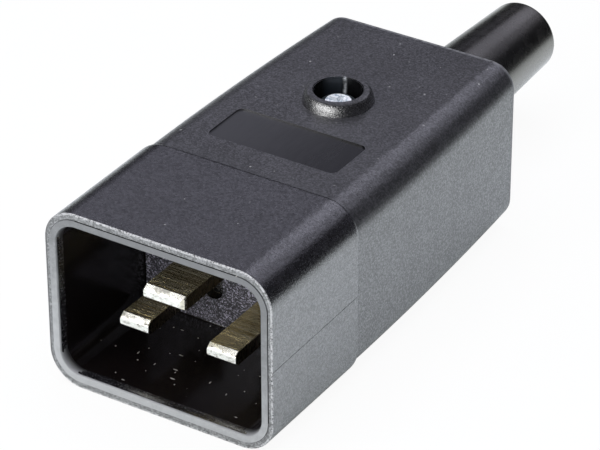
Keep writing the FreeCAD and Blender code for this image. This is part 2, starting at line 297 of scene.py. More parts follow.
def wearAndPaintedHighlight(wire, look):
    cloud = wire.noise(look["scale"], 4.0)
    # spots of painted highlight, with rubbing on the rim
    rubAndPaintedLight = cloud.ramp(0.3, 0.6)
    if "from" in look:
        rubAndPaintedLight = rubAndPaintedLight * wire.along("X").ramp(*look["from"])
    return {
        "Base Color": rubAndPaintedLight.blend(look["dark"], look["light"]),
        "Roughness": look["roughness"] + cloud * 0.2,
        "Normal": wire.bump(wire.noise(5.0, 2.0), 0.01),
    }


# Smooth glossy walls of the mating cavity, with dust and short fibres
wallLook = {
    "black": colour(0.006, 0.0043, 0.0042),
    "dust": colour(0.75, 0.73, 0.7),
    "dustSpacing": 3.8,
    "dustSize": 0.09,
    "fibres": ((6.2, 0.14, (0.35, 1.9)), (7.0, 0.14, (1.8, 0.4))),  # spacing, size, stretch
    "roughness": 0.12,
    "fixed": {"Specular IOR Level": 0.5},
}


def glossyWall(wire, look):
    marks = wire.specks(look["dustSpacing"], look["dustSize"])
    for fibre in look["fibres"]:
        marks = wire.calc("MAXIMUM", marks, wire.specks(*fibre))
    haze = wire.noise(0.5, 3.0)
    return {
        "Base Color": marks.blend(look["black"], look["dust"]),
        "Roughness": look["roughness"] + haze * 0.12 + marks * 0.4,
        "Normal": wire.bump(wire.noise(1.2, 2.0), 0.004),
    }


# Smooth wall of the screw hole, with a painted glint streak down its far side and a painted bluish
# reflection beside it
holeLook = {
    "black": colour(0.005, 0.005, 0.0055),
    "haze": colour(0.03, 0.036, 0.044),
    "paintedGlint": colour(0.8, 0.83, 0.86),
    "glintAcross": -0.85,
    "glintWidth": 0.42,
    "paintedReflectionAcross": -1.6,
    "roughness": 0.14,
    "fixed": {"Specular IOR Level": 0.22},
}


def holeWithPaintedGlint(wire, look):
    haze = wire.noise(0.8, 3.0)
    far = 0 - wire.facing("Y")
    away = abs(wire.along("X") - look["glintAcross"] + (haze - 0.5) * 0.5)
    # painted glint: a light streak down the far wall
    glintStreak = (1 - away.ramp(0.0, look["glintWidth"])) * far.ramp(0.5, 0.9) * haze.ramp(0.25, 0.65)
    # painted reflection: the bluish haze colour on the far wall beside the glint
    beside = far.ramp(0.2, 0.7) * (1 - wire.along("X").ramp(look["paintedReflectionAcross"], look["glintAcross"]))
    wall = beside.blend(look["black"], look["haze"])
    return {
        "Base Color": (glintStreak * glintStreak).blend(wall, look["paintedGlint"]),
        "Roughness": look["roughness"] + haze * 0.1,
        "Normal": wire.bump(haze, 0.004),
    }


# Coarse grain of the contact floor, with painted glints on some grains
floorLook = {
    "dark": colour(0.006, 0.0055, 0.009),
    "light": colour(0.86, 0.83, 1.0),
    "scale": 6.5,
    "paintedGlintRange": (0.54, 1.14),
    "depth": 0.04,
    "roughness": 0.26,
    "fixed": {"Specular IOR Level": 1.0, "Coat Roughness": 0.2, "Coat IOR": 1.7},
}


def floorWithPaintedGlints(wire, look):
    grains = wire.lots(look["scale"])
    fine = wire.noise(look["scale"], 2.0)
    lift = (grains * 0.7 + fine * 0.6).ramp(*look["paintedGlintRange"])
    paintedGlints = lift * lift
    return {
        "Base Color": paintedGlints.blend(look["dark"], look["light"]),
        "Roughness": look["roughness"] + fine * 0.2,
        "Coat Weight": paintedGlints,
        "Normal": wire.bump(fine, look["depth"]),
    }


# Smooth floor of the label recess, lighter towards its left end
labelLook = {
    "dark": colour(0.005, 0.005, 0.0058),
    "light": colour(0.036, 0.036, 0.039),
    "fall": 0.055,
    "roughness": 0.24,
    "fixed": {"Specular IOR Level": 0.9, "Coat Roughness": 0.4, "Coat IOR": 1.7},
}


def smoothLabel(wire, look):
    streaks = wire.noise(1.0, 2.0, (2.0, 0.3, 1))
    haze = (streaks * 0.35 - wire.along("X") * look["fall"]).ramp(-0.45, 0.75)
    return {
        "Base Color": haze.blend(look["dark"], look["light"]),
        "Roughness": look["roughness"] + haze * 0.2,
        "Coat Weight": haze,
        "Normal": wire.bump(streaks, 0.003),
    }


# Brass under thin plating, with tool lines across the broad faces of the blades and painted shade on
# their sides
brassLook = {
    "pale": colour(0.92, 0.82, 0.52),
    "gold": colour(0.56, 0.45, 0.21),
    "edge": colour(0.13, 0.105, 0.06),
    "lines": (0.08, 6.0, 1.0),
    "bands": (0.05, 1.6, 1.0),
    "contrast": (0.44, 0.66),
    "depth": 0.22,
    "roughness": 0.08,
    "fixed": {"Metallic": 0.95},
}


def brushedBrass(wire, look):
    # the broad faces are bright, the sides darkened by painted shade
    lines = wire.noise(1.0, 4.0, look["lines"])
    bands = wire.noise(1.0, 2.0, look["bands"])
    flat = abs(wire.facing("Z"))
    face = (lines * 0.55 + bands * 0.55).ramp(*look["contrast"]).blend(look["gold"], look["pale"])
    return {
        # painted shade: the sides take the dark edge colour
        "Base Color": flat.ramp(0.4, 0.8).blend(look["edge"], face),
        "Roughness": look["roughness"] + lines * 0.2 + (1 - flat) * 0.1,
        "Normal": wire.bump(lines * (flat * 0.8 + 0.2), look["depth"]),
    }


# Plated blade noses with small pits, and a painted cream shade on facets turned to the right
noseLook = {
    "bright": colour(0.99, 0.975, 0.91),
    "cream": colour(0.86, 0.81, 0.66),
    "smudge": colour(0.5, 0.48, 0.42),
    "pit": colour(0.12, 0.11, 0.09),
    "roughness": 0.25,
    "fixed": {"Metallic": 1.0},
}


def platedNosePaintedShade(wire, look):
    broad = wire.noise(0.9, 2.0)
    soft = wire.noise(1.3, 4.0, (1.0, 1.0, 1.8)).ramp(0.48, 0.66)
    pits = wire.noise(2.4, 3.0, (1.0, 1.0, 1.6)).ramp(0.6, 0.68) * soft
    # painted shade: facets turned to the right take the cream colour
    aside = wire.facing("X").ramp(0.2, 0.5)
    plating = (aside * 0.8 + broad * 0.3).ramp(0.2, 0.9).blend(look["bright"], look["cream"])
    dulled = (soft * 0.7).blend(plating, look["smudge"])
    return {
        "Base Color": pits.blend(dulled, look["pit"]),
        "Roughness": look["roughness"] + soft * 0.2,
        "Normal": wire.bump(broad, 0.01),
    }


# Bright zinc-plated steel, with a darker copy as painted shade on the outer part of the screw's head
zincLook = {
    "bright": colour(0.98, 0.995, 1.0),
    "grey": colour(0.44, 0.52, 0.58),
    "depth": 0.05,
    "roughness": 0.3,
    "fixed": {"Metallic": 0.1},
}
paintedShadeZincLook = {
    **zincLook,
    "bright": colour(0.2, 0.23, 0.24),
    "grey": colour(0.09, 0.105, 0.11),
    "fixed": {"Metallic": 0.8},
}


def zincSteel(wire, look):
    cloud = wire.noise(1.7, 3.0)
    return {
        "Base Color": cloud.ramp(0.38, 0.5).blend(look["grey"], look["bright"]),
        "Roughness": look["roughness"] + cloud * 0.15,
        "Normal": wire.bump(wire.noise(3.0, 3.0), look["depth"]),
    }


# Satin rubber of the sleeve, with less coat on top towards the hood as painted shade
rubberLook = {
    "dark": colour(0.006, 0.006, 0.0064),
    "light": colour(0.014, 0.014, 0.0145),
    "paintedShadeShare": 0.8,
    "paintedShadeClears": (31.0, 46.0),
    "roughness": 0.22,
    "fixed": {
        "IOR": 1.7,
        "Specular IOR Level": 1.0,
        "Specular Tint": colour(1.0, 0.97, 0.9),
        "Coat Roughness": 0.2,
        "Coat IOR": 1.9,
        "Coat Tint": colour(1.0, 0.97, 0.9),
    },
}


def satinRubber(wire, look):
    cloud = wire.noise(0.6, 3.0)
    paintedShade = wire.facing("Z").ramp(-0.05, 0.6) * (1 - wire.along("Y").ramp(*look["paintedShadeClears"]))
    return {
        "Base Color": cloud.ramp(0.3, 0.7).blend(look["dark"], look["light"]),
        "Roughness": look["roughness"] + cloud * 0.1,
        "Coat Weight": 1 - paintedShade * look["paintedShadeShare"],
        "Normal": wire.bump(wire.noise(6.0, 2.0), 0.006),
    }


materials = {
    "grain": newMaterial("shroud_grain", shroudLook, grainedPlastic),
    "hood": newMaterial("hood_grain", hoodLook, grainedPlastic),
    "collar": newMaterial("collar_grain", collarLook, grainedPlastic),
    "land": newMaterial("polished_land_painted_light", landLook, polishedLandPaintedLight),
    "band": newMaterial("grained_band_painted_reflection", bandLook, grainedBandPaintedReflection),
    "worn": newMaterial("painted_highlight_edge", paintedHighlightLook, wearAndPaintedHighlight),
    "rubbed": newMaterial("rim_rubs_and_painted_highlight", rubbedAndHighlightLook, wearAndPaintedHighlight),
    "wall": newMaterial("glossy_wall", wallLook, glossyWall),
    "hole": newMaterial("screw_hole_painted_glint", holeLook, holeWithPaintedGlint),
    "floor": newMaterial("floor_painted_glints", floorLook, floorWithPaintedGlints),
    "label": newMaterial("smooth_label", labelLook, smoothLabel),
    "brass": newMaterial("brushed_brass", brassLook, brushedBrass),
    "nose": newMaterial("plated_nose_painted_shade", noseLook, platedNosePaintedShade),
    "zinc": newMaterial("zinc_steel", zincLook, zincSteel),
    "turned": newMaterial("zinc_painted_shade", paintedShadeZincLook, zincSteel),
    "rubber": newMaterial("satin_rubber", rubberLook, satinRubber),
}
print("materials made:", len(materials))

# Mesh tools
past = 1.0  # how far a cutter runs past the face that it opens
slack = 0.01  # small distance that keeps two places from coinciding


def roundRect(outline, y, centreX=0.0, centreZ=midZ, steps=14, cuts=()):
    # ring of points across the plug; cuts are (height, depth) pairs down both upright sides
    halfWidth, halfHeight, corner = outline
    left = centreX - halfWidth
    right = centreX + halfWidth
    points = []
    for turn, (sideX, sideZ) in enumerate(((1, 1), (-1, 1), (-1, -1), (1, -1))):
        for step in range(steps + 1):
            angle = math.pi / 2 * (turn + step / steps)
            x = centreX + sideX * (halfWidth - corner) + corner * math.cos(angle)
            z = centreZ + sideZ * (halfHeight - corner) + corner * math.sin(angle)
            points.append(Vector((x, y, z)))
        if turn == 1:
            points += [Vector((left + depth, y, height)) for height, depth in reversed(cuts)]
        if turn == 3:
            points += [Vector((right - depth, y, height)) for height, depth in cuts]
    return points


def insideOf(outline, point):
    # distance in from a rounded rectangle
    halfWidth, halfHeight, corner = outline
    pastX = abs(point.x) - halfWidth + corner
    pastZ = abs(point.z - midZ) - halfHeight + corner
    return corner - math.hypot(max(pastX, 0), max(pastZ, 0)) - min(max(pastX, pastZ), 0)


def circle(radius, height, steps, upright=True):
    # ring about the collar's upright axis or the sleeve's lengthwise one
    points = []
    for step in range(steps):
        angle = 2 * math.pi * step / steps
        across = radius * math.cos(angle)
        along = radius * math.sin(angle)
        if upright:
            points.append(Vector((across, collarY + along, height)))
        else:
            points.append(Vector((across, height, cableZ + along)))
    return points


def quarter(start, end, bulge, steps=6):
    # points of a quarter round from start to end, with its corner at bulge
    points = []
    for step in range(steps + 1):
        angle = math.pi / 2 * step / steps
        near = 1 - math.sin(angle)
        far = 1 - math.cos(angle)
        points.append(tuple(b + (s - b) * near + (e - b) * far for s, e, b in zip(start, end, bulge)))
    return points


def between(start, end, steps):
    return [start + (end - start) * step / steps for step in range(1, steps)]


def skin(bm, rings, loop=False):
    rows = [[bm.verts.new(point * mm) for point in ring] for ring in rings]
    pairs = list(zip(rows, rows[1:]))
    if loop:
        pairs.append((rows[-1], rows[0]))
    for near, far in pairs:
        for index in range(len(near)):
            after = (index + 1) % len(near)
            bm.faces.new((near[index], near[after], far[after], far[index]))
    if not loop:
        bm.faces.new(rows[0])
        bm.faces.new(rows[-1])


def newPiece(name, bm):
    bmesh.ops.recalc_face_normals(bm, faces=bm.faces)
    mesh = bpy.data.meshes.new(name)
    bm.to_mesh(mesh)
    bm.free()
    piece = bpy.data.objects.new(name, mesh)
    bpy.context.scene.collection.objects.link(piece)
    return piece


def solid(name, rings, loop=False):
    bm = bmesh.new()
    skin(bm, rings, loop)
    return newPiece(name, bm)


def carve(piece, other, operation="DIFFERENCE"):
    modifier = piece.modifiers.new("carve", "BOOLEAN")
    modifier.operation = operation
    modifier.solver = "EXACT"
    modifier.object = other
    graph = bpy.context.evaluated_depsgraph_get()
    mesh = bpy.data.meshes.new_from_object(piece.evaluated_get(graph))
    piece.modifiers.clear()
    piece.data = mesh
    bpy.data.objects.remove(other)


def rearOf(node, y):
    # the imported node's own mesh from y backwards, closed at the cut
    bm = bmesh.new()
    bm.from_mesh(nodes[node].data)
    bmesh.ops.remove_doubles(bm, verts=bm.verts, dist=0.0005 * mm)
    everything = bm.verts[:] + bm.edges[:] + bm.faces[:]
    plane = {"plane_co": (0, y * mm, 0), "plane_no": (0, 1, 0)}
    cut = bmesh.ops.bisect_plane(bm, geom=everything, clear_inner=True, **plane)
    edges = [item for item in cut["geom_cut"] if isinstance(item, bmesh.types.BMEdge)]
    bmesh.ops.triangle_fill(bm, use_beauty=True, edges=edges)
    return bm


def dress(piece, names, pick, sharp=20):
    # materials by place, smooth shading split at edges of more than so many degrees
    mergeGap = 0.0004 * mm
    mesh = piece.data
    mesh.materials.clear()
    for name in names:
        mesh.materials.append(materials[name])
    bm = bmesh.new()
    bm.from_mesh(mesh)
    bmesh.ops.remove_doubles(bm, verts=bm.verts, dist=mergeGap)
    bmesh.ops.dissolve_degenerate(bm, edges=bm.edges, dist=mergeGap)
    for face in bm.faces:
        face.smooth = True
        centre = face.calc_center_median() / mm
        face.material_index = names.index(pick(centre, face.normal))
    for edge in bm.edges:
        edge.smooth = edge.calc_face_angle(0) < math.radians(sharp)
    bm.to_mesh(mesh)
    bm.free()
    weighted = piece.modifiers.new("even_normals", "WEIGHTED_NORMAL")
    weighted.keep_sharp = True


def seat(piece, node):
    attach(piece, "root")
    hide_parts(node)


# Blades: widths and rows shared by the slots in the contact floor
bladeSizes = {
    "thickness": 2.0,
    "lineWidth": 4.15,
    "earthWidth": 5.75,
    "pitch": 12.7,
    "lineHeight": 6.9,
    "earthDrop": 6.7,
    "slotClearance": 0.08,
    "slotCorner": 0.05,
    "edgeRound": 0.12,
    "noseLength": 0.7,
    "noseDepth": 0.5,
    "noseProfile": (  # share of the nose's length, share of its depth
        (0, 1.22),
        (0.02, 1.1),
        (0.06, 1.0),
        (0.13, 0.89),
        (0.22, 0.785),
        (0.35, 0.65),
        (0.6, 0.4),
        (1, 0),
    ),
    "earthBevel": 1.0,
    "rootPast": 1.0,
}

# Shroud: rim, cavity, contact floor and parting line
shroudSizes = {
    "cavityWidth": 29.0,
    "cavityHeight": 21.0,
    "cavityDepth": 18.2,
    "cavityCorner": 2.8,
    "outerCorner": 4.6,
    "length": 19.6,
    "rimRound": 0.12,
    "rubAndHighlightWidth": 0.28,
    "lip": (0.3, 1.3),
    "landWidth": 1.12,
    "landRise": 0.1,
    "slotWidth": 0.07,
    "slotDepth": 0.28,
    "slotDraft": 0.01,
    "rearEase": (0.12, 0.55),
    "floorRound": 0.25,
    "partingDrop": 0.28,
    "partingWidth": 0.08,
    "partingDepth": 0.035,
    "recessRadius": 1.45,
    "recessHeight": 4.9,
    "recessDepth": 1.6,
    "recessX": 4.175,
    "recessDrop": 0.65,
}


def bladeSpots():
    # centre across, centre height, width and bevelled right corner of each blade
    size = bladeSizes
    halfHeight = shroudSizes["cavityHeight"] / 2
    lineZ = midZ - halfHeight + size["lineHeight"]
    earthZ = midZ + halfHeight - size["earthDrop"]
    aside = size["pitch"] / 2
    return {
        "earth_pin": (0, earthZ, size["earthWidth"], size["earthBevel"]),
        "line_pin": (-aside, lineZ, size["lineWidth"], 0.0),
        "neutral_pin": (aside, lineZ, size["lineWidth"], 0.0),
    }


def addChassis(piece, seam):
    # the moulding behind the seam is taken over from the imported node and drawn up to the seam
    behind = seam + 0.05
    bm = rearOf("front_shroud", behind)
    for vert in bm.verts:
        if abs(vert.co.y - behind * mm) < 0.001 * mm:
            vert.co.y = seam * mm
    bm.from_mesh(piece.data)
    bm.to_mesh(piece.data)
    bm.free()


def buildShroud():
    size = shroudSizes
    halfWidth = (shroudHigh.x - shroudLow.x) / 2
    halfHeight = (shroudHigh.z - shroudLow.z) / 2
    seam = rimY + size["length"]
    floorY = rimY + size["cavityDepth"]
    narrow = size["partingWidth"] / 2
    levels = ((-2 * narrow, 0), (-narrow, 0), (0, size["partingDepth"]), (narrow, 0), (2 * narrow, 0))

    def outer(inset):
        return halfWidth - inset, halfHeight - inset, size["outerCorner"] - inset

    def cavity(growth):
        half = (size["cavityWidth"] / 2 + growth, size["cavityHeight"] / 2 + growth)
        return half[0], half[1], size["cavityCorner"] + growth

    def outside(inset, y):
        # the parting line falls a little towards the rim
        parting = midZ - size["partingDrop"] * (seam - y) / size["length"]
        return roundRect(outer(inset), y, cuts=[(parting + level, depth) for level, depth in levels])

    def inside(growth, y):
        parting = midZ - size["partingDrop"]
        return roundRect(cavity(growth), y, cuts=[(parting + level, 0) for level, _ in levels])

    drop, ease = size["rearEase"]
    rimRound = size["rimRound"]
    band = rimY + size["landRise"]
    outerPath = quarter((drop, seam), (0, seam - ease), (0, seam))
    outerPath += [(0, y) for y in between(seam - ease, band + rimRound, 14)]
    outerPath += quarter((0, band + rimRound), (rimRound, band), (0, band))
    outerPath.append((size["rubAndHighlightWidth"], band))

    land = size["landWidth"]
    slot = land + size["slotWidth"]
    draft = size["slotDraft"]
    slotFloor = rimY + size["slotDepth"]
    wide, deep = size["lip"]
    lip = rimY + deep
    foot = size["floorRound"]
    innerPath = [(slot, band), (slot - draft, slotFloor), (land + draft, slotFloor), (land, rimY)]
    innerPath += quarter((wide, rimY), (0, lip), (0, rimY), 10)
    innerPath += [(0, y) for y in between(lip, floorY - foot, 12)]
    innerPath += quarter((0, floorY - foot), (-foot, floorY), (0, floorY))

    rings = [outside(inset, y) for inset, y in outerPath]
    rings += [inside(growth, y) for growth, y in innerPath]
    piece = solid("shroud_body", rings)

    blades = bladeSizes
    gap = blades["slotClearance"]
    ends = (floorY - past, seam + past)
    for x, z, width, _ in bladeSpots().values():
        outline = (width / 2 + gap, blades["thickness"] / 2 + gap, blades["slotCorner"])
        carve(piece, solid("slot", [roundRect(outline, y, x, z, 2) for y in ends]))
    outline = (size["recessRadius"], size["recessHeight"] / 2, size["recessRadius"] - slack)
    recessZ = bladeSpots()["line_pin"][1] - size["recessDrop"]
    ends = (floorY - past, floorY + size["recessDepth"])
    for side in (-1, 1):
        x = side * size["recessX"]
        carve(piece, solid("recess", [roundRect(outline, y, x, recessZ, 10) for y in ends]))
    addChassis(piece, seam)

    def pick(centre, normal):
        depth = centre.y - rimY
        beside = abs(centre.x) < size["cavityWidth"] / 2 + 0.1 * slack
        within = beside and abs(centre.z - midZ) < size["cavityHeight"] / 2 + 0.1 * slack
        if depth > size["length"] - slack:
            return "grain"
        if depth > size["cavityDepth"] + 2 * slack and within:
            return "wall"
        if depth > size["cavityDepth"] - slack and within:
            return "floor"
        if depth > deep - 10 * slack and within:
            return "wall"
        if depth > size["landRise"] + rimRound + 5 * slack and not within:
            return "grain"
        if insideOf(cavity(land), centre) > 0:
            return "land"
        if insideOf(cavity(slot), centre) > 0:
            return "wall"
        if normal.y > -0.3:
            return "grain"
        # painted highlight in spots along the rim's outer edge, with rubbing
        return "rubbed" if insideOf(outer(0), centre) < size["rubAndHighlightWidth"] else "band"

    dress(piece, ["grain", "land", "band", "rubbed", "wall", "floor"], pick)
    seat(piece, "front_shroud")


buildShroud()
print("shroud built")


# Hood: tapered cover with its screw collar and label recess
hoodSizes = {
    "wall": 1.8,
    "rearWall": 2.0,
    "step": 0.33,
    "sideTaper": 1.55,
    "topTaper": 0.57,
    "cornerTaper": 0.8,
    "frontRound": 0.1,
    "rearRound": 0.4,
    "rearPaintedHighlight": 0.3,
    "collarHeight": 1.6,
    "collarSide": (  # radius, rise above the roof
        (4.6, 0.05),
        (4.56, 0.3),
        (4.5, 0.6),
        (4.42, 0.88),
        (4.32, 1.12),
        (4.2, 1.32),
        (4.08, 1.46),
        (3.95, 1.555),
        (3.8, 1.6),
    ),
    "collarFillet": 0.05,
    "holeRadius": 3.2,
    "holeRound": 0.1,
    "tubeWall": 1.2,
    "screwHole": 1.7,
    "screwSeat": 2.0,
    "tubeFloor": 1.8,
    "openingRadius": 6.3,
    "openingRound": 0.2,
    "labelGap": 5.4,
    "labelLength": 7.9,
    "labelWidth": 18.8,
    "labelDepth": 0.2,
    "labelCorner": 1.0,
}


def labelCutter(top, seam):
    # shallow rounded field
    size = hoodSizes
    front = seam + size["labelGap"]
    rear = front + size["labelLength"]
    low = top(rear) - size["labelDepth"]
    outline = (size["labelWidth"] / 2, size["labelLength"] / 2, size["labelCorner"])
    flat = roundRect(outline, 0, 0, 0, 8)
    rings = []
    for z in (low, top(front) + past):
        rings.append([Vector((point.x, (front + rear) / 2 + point.z, z)) for point in flat])
    return solid("label", rings)


def buildHood():
    size = hoodSizes
    seam = rimY + shroudSizes["length"]
    front = hoodLow.y
    rear = hoodHigh.y
    length = rear - seam

    def outline(y, inset=0.0):
        share = ((y - seam) / length) ** 2
        halfWidth = (shroudHigh.x - shroudLow.x) / 2 - size["step"] - size["sideTaper"] * share - inset
        halfHeight = (shroudHigh.z - shroudLow.z) / 2 - size["step"] - size["topTaper"] * share - inset
        corner = shroudSizes["outerCorner"] - size["step"] - size["cornerTaper"] * share - inset
        return halfWidth, halfHeight, corner

    def ring(inset, y):
        return roundRect(outline(y, inset), y)

    def top(y):
        return midZ + outline(y)[1]

    lip = size["frontRound"]
    edge = size["rearRound"]
    # painted highlight: a lighter band painted along the hood's rear edge
    worn = rear - edge - size["rearPaintedHighlight"]
    rings = [ring(inset, y) for inset, y in quarter((lip, front), (0, front + lip), (0, front))]
    rings += [ring(0, y) for y in between(front + lip, worn, 28) + [worn]]
    rings += [ring(inset, y) for inset, y in quarter((0, rear - edge), (edge, rear), (0, rear))]
    piece = solid("hood_body", rings)

    roof = top(collarY)
    crown = roof + size["collarHeight"]
    base = size["collarSide"][0][0]
    fillet = size["collarFillet"]
    profile = [(base + fillet, roof - size["wall"] / 2), (base + fillet, roof - 2 * slack)]
    profile += quarter((base + fillet, roof), (base, roof + fillet), (base, roof))[1:-1]
    profile += [(radius, roof + rise) for radius, rise in size["collarSide"]]
    carve(piece, solid("collar", [circle(radius, z, 96) for radius, z in profile]), "UNION")

    rearInside = rear - size["rearWall"]
    inner = [ring(size["wall"], y) for y in [seam] + between(seam, rearInside, 14) + [rearInside]]
    carve(piece, solid("inside", inner))

    hole = size["holeRadius"]
    headSeat = screwHigh.z - size["screwSeat"]
    tubeLow = headSeat - size["tubeFloor"]
    tube = [circle(hole + size["tubeWall"], z, 64) for z in (tubeLow, roof - size["wall"] / 2)]
    carve(piece, solid("tube", tube), "UNION")

    lipRound = size["holeRound"]
    mouth = hole + lipRound
    lipLow = crown - lipRound
    bore = [(hole, headSeat), (hole, lipLow)]
    bore += quarter((hole, lipLow), (mouth, crown), (mouth, lipLow))[1:]
    bore.append((mouth, crown + past))
    carve(piece, solid("bore", [circle(radius, z, 80) for radius, z in bore]))
    ends = (tubeLow - past, headSeat + past / 2)
    carve(piece, solid("screwHole", [circle(size["screwHole"], z, 48) for z in ends]))

    wide = size["openingRadius"]
    flare = size["openingRound"]
    opening = [(wide, rearInside - past), (wide, rear - flare)]
    opening += [(wide + flare, rear), (wide + flare, rear + past)]
    carve(piece, solid("opening", [circle(radius, y, 96, False) for radius, y in opening]))
    carve(piece, labelCutter(top, seam))

    def pick(centre, normal):
        beside = abs(centre.x) < size["labelWidth"] / 2 + slack
        along = -slack < centre.y - seam - size["labelGap"] < size["labelLength"] + slack
        sunk = midZ < centre.z < top(centre.y) - 2 * slack
        if beside and along and sunk:
            return "label"
        away = (centre.xy - Vector((0, collarY))).length
        inHole = away < mouth and centre.z > headSeat - 10 * slack
        if inHole and abs(normal.z) < 0.95:
            return "hole"
        onCollar = away < base + fillet and centre.z > roof + 3 * slack
        if onCollar and normal.z < 0.8:
            return "collar"
        clear = (centre.xz - Vector((0, cableZ))).length > wide + flare
        return "worn" if clear and worn < centre.y < rear - slack else "hood"

    dress(piece, ["hood", "collar", "label", "worn", "hole"], pick)
    seat(piece, "rear_hood")


buildHood()
print("hood built")


# Blades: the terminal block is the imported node's own, and the blade has a bevelled nose
def buildPin(node, name):
    size = bladeSizes
    x, z, width, bevel = bladeSpots()[node]
    root = rimY + shroudSizes["length"] + size["rootPast"]
    tip = nodeBox(node)[0].y
    half = size["thickness"] / 2
    rings = []
    for along, drop in size["noseProfile"]:
        trim = bevel * (1 - math.sqrt(1 - (1 - along) ** 2))
        outline = ((width - trim) / 2, half - size["noseDepth"] * drop, size["edgeRound"])
        rings.append(roundRect(outline, tip + size["noseLength"] * along, x - trim / 2, z, 4))
    for y in between(tip + size["noseLength"], root, 4) + [root]:
        rings.append(roundRect((width / 2, half, size["edgeRound"]), y, x, z, 4))
    bm = rearOf(node, root)
    skin(bm, rings)
    piece = newPiece(name, bm)

    def pick(centre, normal):
        ahead = centre.y < root - 10 * slack
        return "nose" if ahead and normal.y < -0.15 else "brass"

    dress(piece, ["brass", "nose"], pick, 15)
    seat(piece, node)


for node in bladeSpots():
    buildPin(node, node.replace("pin", "blade"))
print("blades built")


# Sleeve: flange, neck, tapered cone with a rounded tip, and the bore
sleeveSizes = {
    "baseRadius": 6.2,
    "tipRadius": 5.1,
    "tipRound": 0.6,
    "boreRadius": 4.3,
    "boreRound": 0.2,
    "flangeRadius": 7.2,
    "flangeThickness": 2.0,
    "steps": 112,
}


def buildSleeve():
    size = sleeveSizes
    front = sleeveLow.y
    end = sleeveHigh.y
    rear = hoodHigh.y
    back = front + size["flangeThickness"]
    bore = size["boreRadius"]
    lip = size["boreRound"]
    base = size["baseRadius"]
    flange = size["flangeRadius"]
    edge = size["tipRound"]
    slope = (size["tipRadius"] - base) / (end - rear)
    outer = base + slope * (end - edge - rear)
    profile = [(bore, front + lip), (bore + lip, front), (flange, front), (flange, back)]
    profile += [(base, back), (base, rear)]
    profile += [(base + slope * (y - rear), y) for y in between(rear, end - edge, 12)]
    profile += quarter((outer, end - edge), (outer - edge, end), (outer, end))
    profile += quarter((bore + lip, end), (bore, end - lip), (bore, end))
    profile += [(bore, y) for y in between(end - lip, front + lip, 6)]
    rings = [circle(radius, y, size["steps"], False) for radius, y in profile]
    piece = solid("sleeve_body", rings, loop=True)
    dress(piece, ["rubber"], lambda centre, normal: "rubber")
    seat(piece, "bend_relief_sleeve")


buildSleeve()
print("sleeve built")


# Housing screw: domed pan head with a cross recess, and a threaded shank
screwSizes = {
    "headRadius": 2.85,
    "headHeight": 2.0,
    "headEase": 0.1,
    "headDome": (1.35, 0.9, 0.6),  # inward, downward, rise
    "faceRadius": 1.75,
    "shankRadius": 1.5,
    "pitch": 0.5,
    "threadDepth": 0.25,
    "threadRows": 8,
    "crossWidth": 0.85,
    "crossReach": 1.55,
    "crossDepth": 1.2,
    "crossTaper": 0.55,
    "steps": 64,
}


def threadRings(size, low, high):
    # rings whose radius follows the helix
    rings = []
    steps = size["steps"]
    count = int((high - low) / size["pitch"] * size["threadRows"])
    for row in range(count):
        z = low + (high - low) * row / count
        ring = []
        for step in range(steps):
            phase = (z / size["pitch"] + step / steps) % 1
            radius = size["shankRadius"] - size["threadDepth"] * abs(2 * phase - 1)
            angle = 2 * math.pi * step / steps
            ring.append(Vector((radius * math.cos(angle), collarY + radius * math.sin(angle), z)))
        rings.append(ring)
    return rings


def crossArm(size, top, turned):
    # one arm of the recess, narrower at its foot and running out above the head
    rings = []
    for share, z in ((size["crossTaper"], top - size["crossDepth"]), (1, top), (1.2, top + 0.4)):
        reach = size["crossReach"] * share
        half = size["crossWidth"] / 2 * (0.6 + 0.4 * share)
        corners = [(reach, half), (-reach, half), (-reach, -half), (reach, -half)]
        if turned:
            corners = [(-y, x) for x, y in corners]
        rings.append([Vector((x, collarY + y, z)) for x, y in corners])
    return solid("arm", rings)


def buildHousingScrew():
    size = screwSizes
    top = screwHigh.z
    seatZ = top - size["headHeight"]
    radius = size["headRadius"]
    ease = size["headEase"]
    inward, downward, rise = size["headDome"]
    crown = top + rise
    profile = [(size["shankRadius"] - size["threadDepth"] / 2, seatZ)]
    profile += [(radius - ease, seatZ), (radius, seatZ + ease)]
    profile += quarter((radius, top - downward), (radius - inward, crown), (radius, crown), 12)
    rings = threadRings(size, screwLow.z, seatZ)
    rings += [circle(r, z, size["steps"]) for r, z in profile]
    piece = solid("screw_cross", rings)
    for turned in (False, True):
        carve(piece, crossArm(size, crown, turned))

    def pick(centre, normal):
        # painted shade: the head's outer part takes the darker zinc
        away = (centre.xy - Vector((0, collarY))).length
        return "turned" if away > size["faceRadius"] else "zinc"

    dress(piece, ["zinc", "turned"], pick, 28)
    seat(piece, "housing_screw")


buildHousingScrew()
print("housing screw built")

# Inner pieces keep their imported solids
innerLooks = {
    "earth_terminal_screw": "zinc",
    "line_terminal_screw": "zinc",
    "neutral_terminal_screw": "zinc",
    "left_clamp_screw": "zinc",
    "right_clamp_screw": "zinc",
    "housing_nut": "zinc",
    "cable_clamp": "hood",
}
for node, name in innerLooks.items():
    nodes[node].material_slots[0].material = materials[name]
print("inner pieces dressed:", len(innerLooks))

# Camera at the photo's viewing angle
cameraSizes = {
    "azimuth": 32.290,
    "elevation": 31.629,
    "roll": -0.143,
    "across": 17.021,
    "upward": 23.435,
    "distance": 410.896,
    "lens": 202.667,
    "sensor": 36.0,
    "clipStart": 10.0,
}


